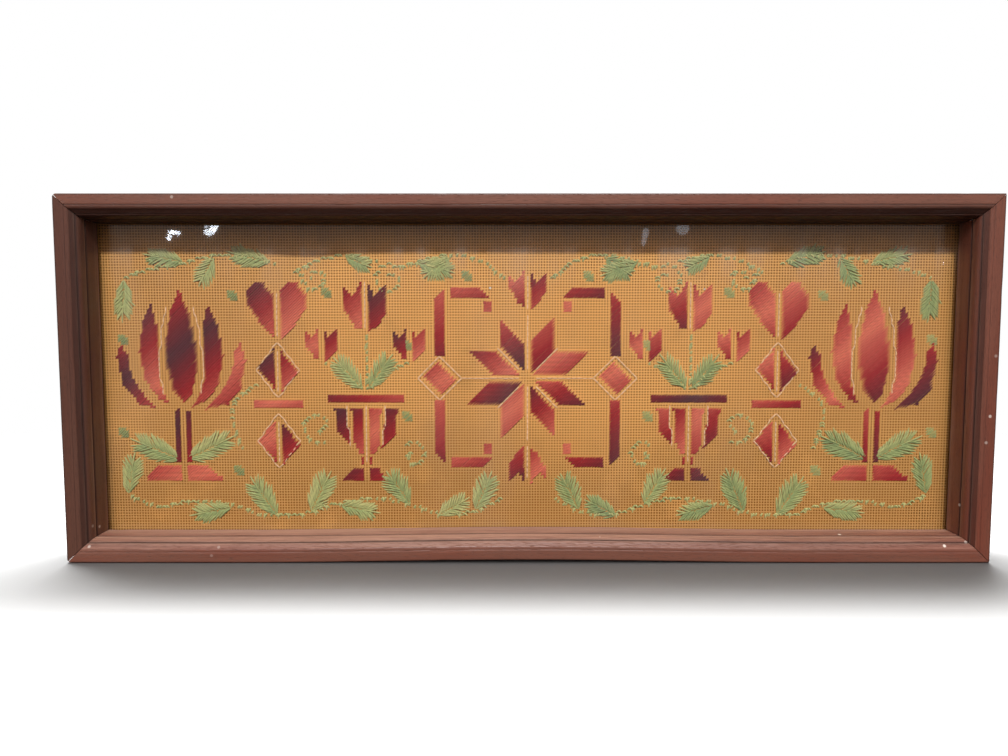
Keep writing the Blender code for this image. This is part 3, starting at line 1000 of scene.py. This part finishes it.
def strand_tree():
    """Strands of wool over the card: each line becomes a rounded strand whose ends dive into holes."""
    tree, desk, given = geometry_tree("lay_the_stitches", {
        "Rings": "Int", "Sides": "Int", "Girth": "Float", "Flatness": "Float", "Rise": "Float",
        "Sink": "Float", "Setback": "Float", "Material": "Material"})

    def store(geometry, name, value, kind="FLOAT", domain="POINT"):
        return desk.node("GeometryNodeStoreNamedAttribute", {"data_type": kind, "domain": domain},
                         {"Geometry": geometry, "Name": name, "Value": value})

    lines = desk.node("GeometryNodeMeshToCurve", None, {"Mesh": given["Geometry"]})
    lines = desk.node("GeometryNodeResampleCurve", None, {"Curve": lines, "Count": given["Rings"]})
    along = desk.node("GeometryNodeSplineParameter", out="Factor")
    far = desk.node("GeometryNodeSplineLength", out="Length")
    to_end = desk.math("MINIMUM", along, 1 - along) * far / given["Rise"]
    reach = desk.math("MINIMUM", to_end, 1.0)
    lines = store(lines, "up", reach * (2 - reach))
    lines = store(lines, "along", along * far)
    x, _, z = desk.apart(desk.node("GeometryNodeInputPosition"))
    girth, up = given["Girth"] * desk.field("girth"), desk.field("up")
    card = SHEET_FRONT + given["Setback"] + cockle_at(x, z)
    high = girth * given["Flatness"] * 0.80 + desk.field("lift")
    depth = card - high * up + given["Sink"] * (1 - up)
    lines = desk.node("GeometryNodeSetPosition", None, {
        "Geometry": lines, "Position": desk.xyz(x, depth, z + CENTRE_Z)})
    lines = store(lines, "middle", desk.node("GeometryNodeInputPosition"), "FLOAT_VECTOR")
    lines = store(lines, "course", desk.node("GeometryNodeInputTangent"), "FLOAT_VECTOR")
    profile = desk.node("GeometryNodeCurvePrimitiveCircle", {"mode": "RADIUS"}, {
        "Resolution": given["Sides"], "Radius": 1.0})
    strands = desk.node("GeometryNodeCurveToMesh", None, {
        "Curve": lines, "Profile Curve": profile, "Scale": girth * (up * 0.62 + 0.38),
        "Fill Caps": True})
    middle = desk.field("middle", "FLOAT_VECTOR")
    off = desk.vector("SUBTRACT", desk.node("GeometryNodeInputPosition"), middle)
    squashed = desk.vector("MULTIPLY", off, desk.xyz(1.0, given["Flatness"], 1.0))
    beside = desk.vector("NORMALIZE", desk.vector(
        "CROSS_PRODUCT", desk.field("course", "FLOAT_VECTOR"), (0.0, 1.0, 0.0)))
    across = desk.vector("DOT_PRODUCT", off, beside, out="Value") / given["Girth"]
    strands = store(strands, "across", across)
    strands = desk.node("GeometryNodeSetPosition", None, {
        "Geometry": strands, "Position": desk.vector("ADD", middle, squashed)})
    # A flat map whose one way is the tone and whose other way is the place across the strand.
    by_tone = desk.xyz(desk.field("tone") * 0.84 + desk.field("along") * 3.0 + 0.04,
                       desk.field("across") * 0.46 + 0.5, 0.0)
    strands = store(strands, "OFBake", by_tone, "FLOAT2", "CORNER")
    for name in ("middle", "course", "up", "lift", "girth"):
        strands = desk.node("GeometryNodeRemoveAttribute", None, {"Geometry": strands, "Name": name})
    smooth = desk.node("GeometryNodeSetShadeSmooth", None, {"Geometry": strands})
    end_tree(desk, smooth, given["Material"])
    return tree


def strand_lines(name, lines, pitch):
    """The stitches as a mesh of loose edges, with the tone at each end, the girth and the lift."""
    mesh = bpy.data.meshes.new(name + "_lines")
    points, edges = [], []
    for number, (start, end, *_) in enumerate(lines):
        points += [(i * pitch, 0.0, j * pitch) for i, j in (start, end)]
        edges.append((2 * number, 2 * number + 1))
    mesh.from_pydata(points, edges, [])
    carry(mesh, "tone", "FLOAT", [min(max(tone, 0.0), 1.0) for line in lines for tone in line[2:4]])
    for field, place in (("girth", 4), ("lift", 5)):
        carry(mesh, field, "FLOAT", [line[place] for line in lines for _ in (0, 1)])
    return mesh


def worsted(name, stops, sheen, unevenness):
    """Worsted wool: a shade along the thread, twisted plies, loose fibres and a soft sheen."""
    material, desk = new_material(name)
    tone, along, across = (desk.attribute(field) for field in ("tone", "along", "across"))
    patch = desk.noise(object_place(desk), 160.0, 3.0)
    shade = desk.ramp(tone + (patch - 0.5) * unevenness, stops)
    ply = ((along * 1500.0 + across * 1.9).sine() + 1) * 0.5
    fibre = desk.noise(desk.xyz(along * 1800.0, across * 9.0, tone * 90.0), 1.0, 2.0, 0.6)
    edge = desk.smooth(desk.math("ABSOLUTE", across), 0.45, 1.0)
    lit = ply * 0.20 + fibre * 0.55 + 0.62 - edge * 0.34
    rough = desk.smooth(fibre, 0.2, 0.8, 0.62, 0.86)
    relief = desk.bump(ply * 0.7 + fibre * 0.5, 0.00012, 0.6)
    desk.principled(desk.dimmed(shade, lit), rough, relief, {
        "Sheen Weight": sheen, "Sheen Roughness": 0.45, "Specular IOR Level": 0.25})
    return material


def punched_paper(card):
    """Tan card: browner towards its foot and ends, foxed, pressed up between the holes, with painted shade
    round each hole and painted light on the ridges between them.
    """
    material, desk = new_material("punched_paper")
    place = object_place(desk)
    x, _, z = desk.apart(place)
    cloud = desk.noise(place, 7.0, 4.0, 0.55)
    blotch = desk.noise(place, 38.0, 4.0, 0.6)
    pulp = desk.noise(place, 2600.0, 2.0)
    low = desk.smooth(z * -14.0 - 1.5 + (cloud - 0.5) * 1.4, 0.0, 1.0)
    end = desk.smooth(desk.math("ABSOLUTE", x), 0.08, 0.20)
    browner_low_and_at_ends = 1 - (1 - low) * (1 - end * 0.55)
    shade = desk.mix(browner_low_and_at_ends, card.tan, card.amber)
    shade = desk.mix(desk.smooth(blotch, 0.52, 0.75) * 0.30, shade, scaled(card.amber, 0.8))
    shade = desk.mix(desk.smooth(blotch, 0.45, 0.28) * 0.22, shade, scaled(card.tan, 1.18))
    # How far a spot is from the nearest hole's middle, each way, as a share of the pitch.
    off = [desk.math("FRACT", value * (1 / card.pitch) + 0.5) - 0.5 for value in (x, z - CENTRE_Z)]
    # Painted shade darkens a rim round each hole, and painted light brightens the ridges between the
    # holes.
    shaded_rim = desk.smooth(desk.math("SQRT", off[0] * off[0] + off[1] * off[1]), 0.36, 0.24)
    shade = desk.mix(shaded_rim * 0.62, shade, (0.360, 0.140, 0.012))
    lit_ridge = desk.math("MAXIMUM", *(desk.smooth(desk.math("ABSOLUTE", part), 0.30, 0.5) for part in off))
    shade = desk.mix(lit_ridge * 0.30, shade, (0.960, 0.545, 0.200))
    relief = desk.bump(lit_ridge * 0.8 + pulp * 0.25 - shaded_rim * 0.9, 0.00012, 0.7)
    desk.principled(shade, desk.smooth(pulp, 0.2, 0.8, 0.70, 0.88), relief, {"Specular IOR Level": 0.3})
    return material


def wool_stock(wool):
    """The wools in use: the stops of each one's shades, its sheen and how uneven its dye is."""
    return {
        "shaded_reds": (((0.0, wool.plum), (0.24, wool.maroon), (0.50, wool.crimson),
                         (0.76, wool.rose), (1.0, wool.salmon)), 0.10, 0.05),
        "sage_greens": (((0.0, wool.fern), (0.45, wool.sage), (1.0, wool.moss)), 0.10, 0.5),
        "cream_wool": (((0.0, scaled(wool.cream, 0.62)), (0.5, wool.cream), (1.0, wool.cream)), 0.2, 0.1),
    }


class Work:
    """What the pieces of the wool work share while the script runs."""
    needles = []
    pieces = []
    tree = None


def work_piece(context, name, needle, dye, girth, rings):
    """Lays a needle's stitches on the card as one piece, in strands of that many rings."""
    wool, card = context.scene.sampler_wool, context.scene.sampler_card
    Work.tree = Work.tree or strand_tree()
    material = bpy.data.materials.get(dye) or worsted(dye, *wool_stock(wool)[dye])
    piece = grown(name, strand_lines(name, needle.lines, card.pitch), Work.tree, {
        "Rings": rings, "Sides": 6, "Girth": girth, "Flatness": wool.flatness, "Rise": wool.dive,
        "Sink": wool.sink, "Setback": card.setback, "Material": material})
    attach(piece, "root")
    Work.needles.append(needle)
    Work.pieces.append(piece)


class SAMPLER_OT_rails(bpy.types.Operator):
    """Mould the four rails with their beads, worn tips and stain"""
    bl_idname = "sampler.rails"
    bl_label = "Mould the rails"

    def execute(self, context):
        sizes = context.scene.sampler_moulding
        material = stained_hardwood(sizes)
        for name, rail in RAILS.items():
            rail_piece(name, rail, sizes, material)
        return {"FINISHED"}


class SAMPLER_OT_satin(bpy.types.Operator):
    """Fill the star, urns, heart columns and tulips with satin stitch in shaded reds"""
    bl_idname = "sampler.satin"
    bl_label = "Fill the red motifs"

    def execute(self, context):
        wool = context.scene.sampler_wool
        motifs = {"star_satin": star_shapes, "urn_satin": urn_shapes, "heart_satin": heart_shapes,
                  "tulip_satin": tulip_shapes}
        for seed, (name, shapes) in enumerate(motifs.items()):
            needle = Needle(11 + seed)
            needle.satin(shapes())
            work_piece(context, name, needle, "shaded_reds", wool.girth, 7)
        return {"FINISHED"}


class SAMPLER_OT_lines(bpy.types.Operator):
    """Work the fine cream lines that edge and part the red motifs"""
    bl_idname = "sampler.lines"
    bl_label = "Work the cream lines"

    def execute(self, context):
        wool = context.scene.sampler_wool
        needle = Needle(21)
        for points in CREAM_LINES:
            needle.back_line(points)
            if any(i for i, _ in points):
                needle.back_line(flipped(points))
        work_piece(context, "cream_lines", needle, "cream_wool", wool.girth, 7)
        return {"FINISHED"}


class SAMPLER_OT_leaves(bpy.types.Operator):
    """Work the leaves in fishbone stitch, and the small green dots"""
    bl_idname = "sampler.leaves"
    bl_label = "Work the leaves"

    def execute(self, context):
        wool = context.scene.sampler_wool
        needle = Needle(31)
        for base, angle, long, wide, tone in LEAVES:
            needle.leaf(base, angle, long, wide, tone)
            other = (-base[0], base[1])
            needle.leaf(other, 180 - angle + needle.dice.uniform(-6, 6), long, wide, 0.95 - tone)
        needle.satin(dot_shapes())
        work_piece(context, "leaf_stitches", needle, "sage_greens", wool.thin, 6)
        return {"FINISHED"}


class SAMPLER_OT_vines(bpy.types.Operator):
    """Work the curling vines of knots and back stitches"""
    bl_idname = "sampler.vines"
    bl_label = "Work the vines"

    def execute(self, context):
        wool = context.scene.sampler_wool
        needle = Needle(41)
        for points in VINES:
            needle.vine(points)
            needle.vine(flipped(points))
        work_piece(context, "vine_stitches", needle, "sage_greens", wool.thin, 6)
        return {"FINISHED"}


class SAMPLER_OT_card(bpy.types.Operator):
    """Punch the card, after the wool work, which covers some of its holes"""
    bl_idname = "sampler.card"
    bl_label = "Punch the card"

    def execute(self, context):
        card = context.scene.sampler_card
        covered = covered_holes(Work.needles)
        half, rows = card.columns // 2, range(-card.rows_down, card.rows_up + 1)
        holes = list(itertools.product(range(-half, half + 1), rows))
        base = bpy.data.meshes.new("holes")
        base.from_pydata([(i, 0.0, j) for i, j in holes], [], [])
        carry(base, "covered", "FLOAT", [float(hole in covered) for hole in holes])
        low, high = ((corner[0], 0.0, corner[2] - CENTRE_Z) for corner in (SHEET_LOW, SHEET_HIGH))
        piece = grown("punched_card", base, punched_card_tree(), {
            "Columns": card.columns, "Rows": len(rows), "Pitch": card.pitch, "Hole Width": card.hole,
            "Low Row": float(rows[0]), "Low Corner": low, "High Corner": high,
            "Setback": card.setback, "Material": punched_paper(card)})
        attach(piece, "root")
        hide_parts("worked_sheet")
        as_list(Work.pieces)
        return {"FINISHED"}


class SAMPLER_OT_glass(bpy.types.Operator):
    """Finish the pane as old, slightly wavy and dusty glass, with pale streaks near its top painted in as
    a reflection
    """
    bl_idname = "sampler.glass"
    bl_label = "Finish the glass"

    def execute(self, context):
        hazy = context.scene.sampler_card.hazy
        material, desk = new_material("window_glass")
        place = object_place(desk)
        wave = desk.noise(desk.vector("MULTIPLY", place, (1.0, 1.0, 2.4)), 14.0, 1.0)
        relief = desk.bump(wave + desk.noise(place, 190.0, 1.0) * 0.008, 0.004, 0.07)
        # A thin film: dust smears all over, pale streaks towards the top that are a painted reflection,
        # and a few specks of dust.
        smear = desk.streaks(place, (16.0, 1.0, 5.0), 4.0, 0.65)
        reflection_streaks = desk.streaks(place, (60.0, 1.0, 9.0), 3.0, 0.6)
        speck = desk.node("ShaderNodeTexVoronoi", None, {"Vector": place, "Scale": 46.0})
        chosen = desk.apart(speck.other("Color"))[0] > 0.93
        high = desk.smooth(desk.apart(place)[2], CENTRE_Z + 0.045, CENTRE_Z + 0.085)
        dust_and_reflection_film = (desk.smooth(smear, 0.48, 0.80) * hazy + desk.smooth(reflection_streaks, 0.42, 0.70) * high * 0.065
                + desk.smooth(speck, 0.042, 0.020) * chosen * 0.8)
        clear = desk.node("ShaderNodeBsdfTransparent", None, {"Color": (0.985, 0.995, 0.985)})
        gloss = desk.node("ShaderNodeBsdfGlossy", None, {
            "Color": (1.0, 1.0, 1.0), "Roughness": 0.02, "Normal": relief})
        film = desk.node("ShaderNodeBsdfDiffuse", None, {"Color": (0.80, 0.75, 0.67)})
        slant = desk.node("ShaderNodeLayerWeight", None, {"Blend": 0.5}, "Facing")
        pane = desk.node("ShaderNodeMixShader", None, {0: slant ** 5 * 0.9 + 0.03, 1: clear, 2: gloss})
        desk.surface(desk.node("ShaderNodeMixShader", None, {0: dust_and_reflection_film, 1: pane, 2: film}))
        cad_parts["glass_pane"].material_slots[0].material = material
        return {"FINISHED"}


class SAMPLER_OT_board(bpy.types.Operator):
    """Finish the board behind the card as bare old softwood"""
    bl_idname = "sampler.board"
    bl_label = "Finish the board"

    def execute(self, context):
        card = context.scene.sampler_card
        material, desk = new_material("softwood_board")
        place = object_place(desk)
        _, y, z = desk.apart(place)
        bent = desk.warped(place, (1.6, 30.0, 26.0), 5.0, (0.0, 2.0, 2.6))
        rings = z * 19.0 + desk.noise(bent, 1.0, 2.0) * 0.55
        late = desk.smooth((rings * 46.0).sine(), -0.3, 1.0)
        fibre = desk.streaks(place, (60.0, 1600.0, 1600.0), 3.0, 0.6)
        grime_and_painted_shade = desk.noise(place, 10.0, 4.0, 0.6)
        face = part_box("backing_board")[0][1]
        front = desk.smooth(y, face + 0.0006, face + 0.0002)
        shade = desk.mix(late * 0.34 + fibre * 0.45, card.board, card.board_dark)
        shade = desk.mix(desk.smooth(grime_and_painted_shade, 0.45, 0.75) * 0.45, shade, (0.085, 0.055, 0.035))
        # Its front face, which shows through the holes, is a darker red-brown: painted shade for the
        # holes.
        shade = desk.mix(front, shade, (0.310, 0.125, 0.020))
        desk.principled(shade, desk.smooth(fibre, 0.2, 0.8, 0.72, 0.9),
                        desk.bump(late * 0.5 + fibre, 0.00025, 0.6), {"Specular IOR Level": 0.25})
        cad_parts["backing_board"].material_slots[0].material = material
        return {"FINISHED"}


# ---------------------------------------------------------------- stage

# The camera's place, its turn from straight down in degrees, and the picture's middle and focal
# length in pixels.
EYE = Vector((-0.0144, -0.4686, -0.0698))
EYE_TILT = 85.86
MIDDLE_PIXEL, FOCAL_PIXELS = (504, 378), 750
# How far off the key light and the glints' lamps are.
KEY_FAR, GLINT_FAR = 12.0, 1.6
# The floor's reach, where it fades out, and its gap below the frame.
FLOOR_RADIUS, FLOOR_FADE, FLOOR_GAP = 3.0, (0.40, 0.85), 0.0002
# What the pane mirrors near its top corners: pixel, width, height and power of each small lamp.
GLINTS = (((213, 229), 0.024, 0.040, 0.040), ((209, 235), 0.036, 0.024, 0.032),
          ((204, 226), 0.012, 0.020, 0.004), ((170, 233), 0.020, 0.009, 0.012),
          ((167, 236), 0.010, 0.009, 0.006), ((176, 234), 0.010, 0.007, 0.004),
          ((945, 261), 0.006, 0.006, 0.004), ((683, 231), 0.033, 0.044, 0.0065),
          ((645, 236), 0.016, 0.038, 0.0030))


def lamp(name, power, place, target, wide, high, tint=(1.0, 1.0, 1.0), shape="RECTANGLE"):
    """A lamp with a lit face at a place, turned to a target."""
    light = bpy.data.lights.new(name, "AREA")
    light.energy, light.color, light.shape = power, tint, shape
    light.size, light.size_y = wide, high
    holder = bpy.data.objects.new(name, light)
    holder.location = place
    holder.rotation_euler = (Vector(target) - Vector(place)).to_track_quat("-Z", "Y").to_euler()
    holder.visible_camera = False
    bpy.context.scene.collection.objects.link(holder)
    return holder


def glint(name, pixel, wide, high, power):
    """A small lamp that the pane mirrors at a pixel of the 1008 by 756 picture."""
    tilt = math.radians(EYE_TILT)
    ahead = Vector(((pixel[0] - MIDDLE_PIXEL[0]) / FOCAL_PIXELS,
                    (MIDDLE_PIXEL[1] - pixel[1]) / FOCAL_PIXELS, -1.0))
    ray = Vector((ahead.x, ahead.y * math.cos(tilt) - ahead.z * math.sin(tilt),
                  ahead.y * math.sin(tilt) + ahead.z * math.cos(tilt)))
    ray /= ray.y
    spot = EYE + ray * (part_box("glass_pane")[0][1] - EYE.y)
    place = spot + Vector((ray.x, -1.0, ray.z)) * GLINT_FAR
    lamp(name, power, place, spot, wide, high, (0.80, 0.88, 1.0), "ELLIPSE")


class SAMPLER_OT_stage(bpy.types.Operator):
    """Set the floor, the light and the camera"""
    bl_idname = "sampler.stage"
    bl_label = "Set the stage"

    def execute(self, context):
        stage, scene = context.scene.sampler_stage, context.scene
        floor_mesh = bpy.data.meshes.new("pale_floor")
        disc = bmesh.new()
        bmesh.ops.create_circle(disc, cap_ends=True, radius=FLOOR_RADIUS, segments=96)
        for vertex in disc.verts:
            vertex.co.z = CAD_BOX[0][2] - FLOOR_GAP
        disc.to_mesh(floor_mesh)
        disc.free()
        material, desk = new_material("pale_floor")
        far = desk.vector("LENGTH", object_place(desk), out="Value")
        matt = desk.node("ShaderNodeBsdfDiffuse", None, {"Color": stage.floor})
        clear = desk.node("ShaderNodeBsdfTransparent", None, {"Color": (1.0, 1.0, 1.0)})
        desk.surface(desk.node("ShaderNodeMixShader", None,
                               {0: desk.smooth(far, *FLOOR_FADE), 1: matt, 2: clear}))
        floor = put("pale_floor", floor_mesh, material)
        floor.visible_diffuse = floor.visible_glossy = False

        world = bpy.data.worlds.new("soft_studio")
        world.use_nodes = True
        world.node_tree.nodes.clear()
        desk = Desk(world.node_tree)
        up = desk.apart(desk.node("ShaderNodeTexCoord", out="Generated"))[2]
        soft = desk.smooth(up, -0.30, 0.50, 0.02, 0.62) - desk.smooth(up, 0.5, 1.0, 0.0, 0.2)
        fill = desk.node("ShaderNodeBackground", None, {
            "Color": desk.xyz(soft * 1.18, soft, soft * 0.92), "Strength": stage.world})
        white = desk.node("ShaderNodeBackground", None, {"Color": (1.0, 1.0, 1.0), "Strength": 1.0})
        seen = desk.node("ShaderNodeLightPath", out="Is Camera Ray")
        both = desk.node("ShaderNodeMixShader", None, {0: seen, 1: fill, 2: white})
        desk.node("ShaderNodeOutputWorld", None, {"Surface": both})
        scene.world = world
        scene.view_settings.view_transform = "Standard"
        scene.view_settings.look = "None"

        height, middle = math.radians(stage.key_height), (0.0, 0.0, CENTRE_Z)
        place = (0.0, -KEY_FAR * math.cos(height), CENTRE_Z + KEY_FAR * math.sin(height))
        key = lamp("key", stage.key, place, middle, 5.6, 0.75)
        above, below = (-0.07, 0.34, CENTRE_Z + 1.2), (0.0, -0.06, CENTRE_Z - 0.1)
        tops = [lamp(f"top_{deep}", stage.over, above, below, 1.4, deep / 100, (1.0, 0.90, 0.84))
                for deep in (20, 48)]
        rear = lamp("rear", stage.rear, (0.5, 1.6, CENTRE_Z + 0.6), middle, 1.2, 0.8)
        for state, lamps in (("EXCLUDE", (key, rear)), ("INCLUDE", tops)):
            lit = bpy.data.collections.new(f"floor_{state.lower()}d")
            lit.objects.link(floor)
            lit.collection_objects[0].light_linking.link_state = state
            for holder in lamps:
                holder.light_linking.receiver_collection = lit
        for number, (pixel, wide, high, power) in enumerate(GLINTS):
            glint(f"glint_{number}", pixel, wide, high, power)

        camera = bpy.data.cameras.new("eye")
        camera.lens = stage.lens
        camera.sensor_width = 36.0
        camera.sensor_fit = "HORIZONTAL"
        camera.clip_start = 0.01
        eye = bpy.data.objects.new("eye", camera)
        eye.location = EYE
        eye.rotation_euler = (math.radians(EYE_TILT), 0.0, 0.0)
        scene.collection.objects.link(eye)
        scene.camera = eye
        return {"FINISHED"}


OPERATORS = (SAMPLER_OT_rails, SAMPLER_OT_satin, SAMPLER_OT_lines, SAMPLER_OT_leaves, SAMPLER_OT_vines,
             SAMPLER_OT_card, SAMPLER_OT_glass, SAMPLER_OT_board, SAMPLER_OT_stage)


class SAMPLER_PT_panel(bpy.types.Panel):
    """Lists what makes the sampler, with its sizes and colours"""
    bl_idname = "SAMPLER_PT_panel"
    bl_label = "Sampler"
    bl_space_type = "VIEW_3D"
    bl_region_type = "UI"
    bl_category = "Sampler"

    def draw(self, context):
        for operator in OPERATORS:
            self.layout.operator(operator.bl_idname)
        for name in SETTINGS:
            group = getattr(context.scene, name)
            box = self.layout.box()
            for field in group.__annotations__:
                box.prop(group, field)


CLASSES = (*SETTINGS.values(), *OPERATORS, SAMPLER_PT_panel)


def register():
    for kind in CLASSES:
        bpy.utils.register_class(kind)
    for name, kind in SETTINGS.items():
        setattr(bpy.types.Scene, name, PointerProperty(type=kind))


def unregister():
    for name in SETTINGS:
        delattr(bpy.types.Scene, name)
    for kind in reversed(CLASSES):
        bpy.utils.unregister_class(kind)


def main():
    register()
    for operator in OPERATORS:
        family, name = operator.bl_idname.split(".")
        getattr(getattr(bpy.ops, family), name)()


if __name__ == "__main__":
    main()
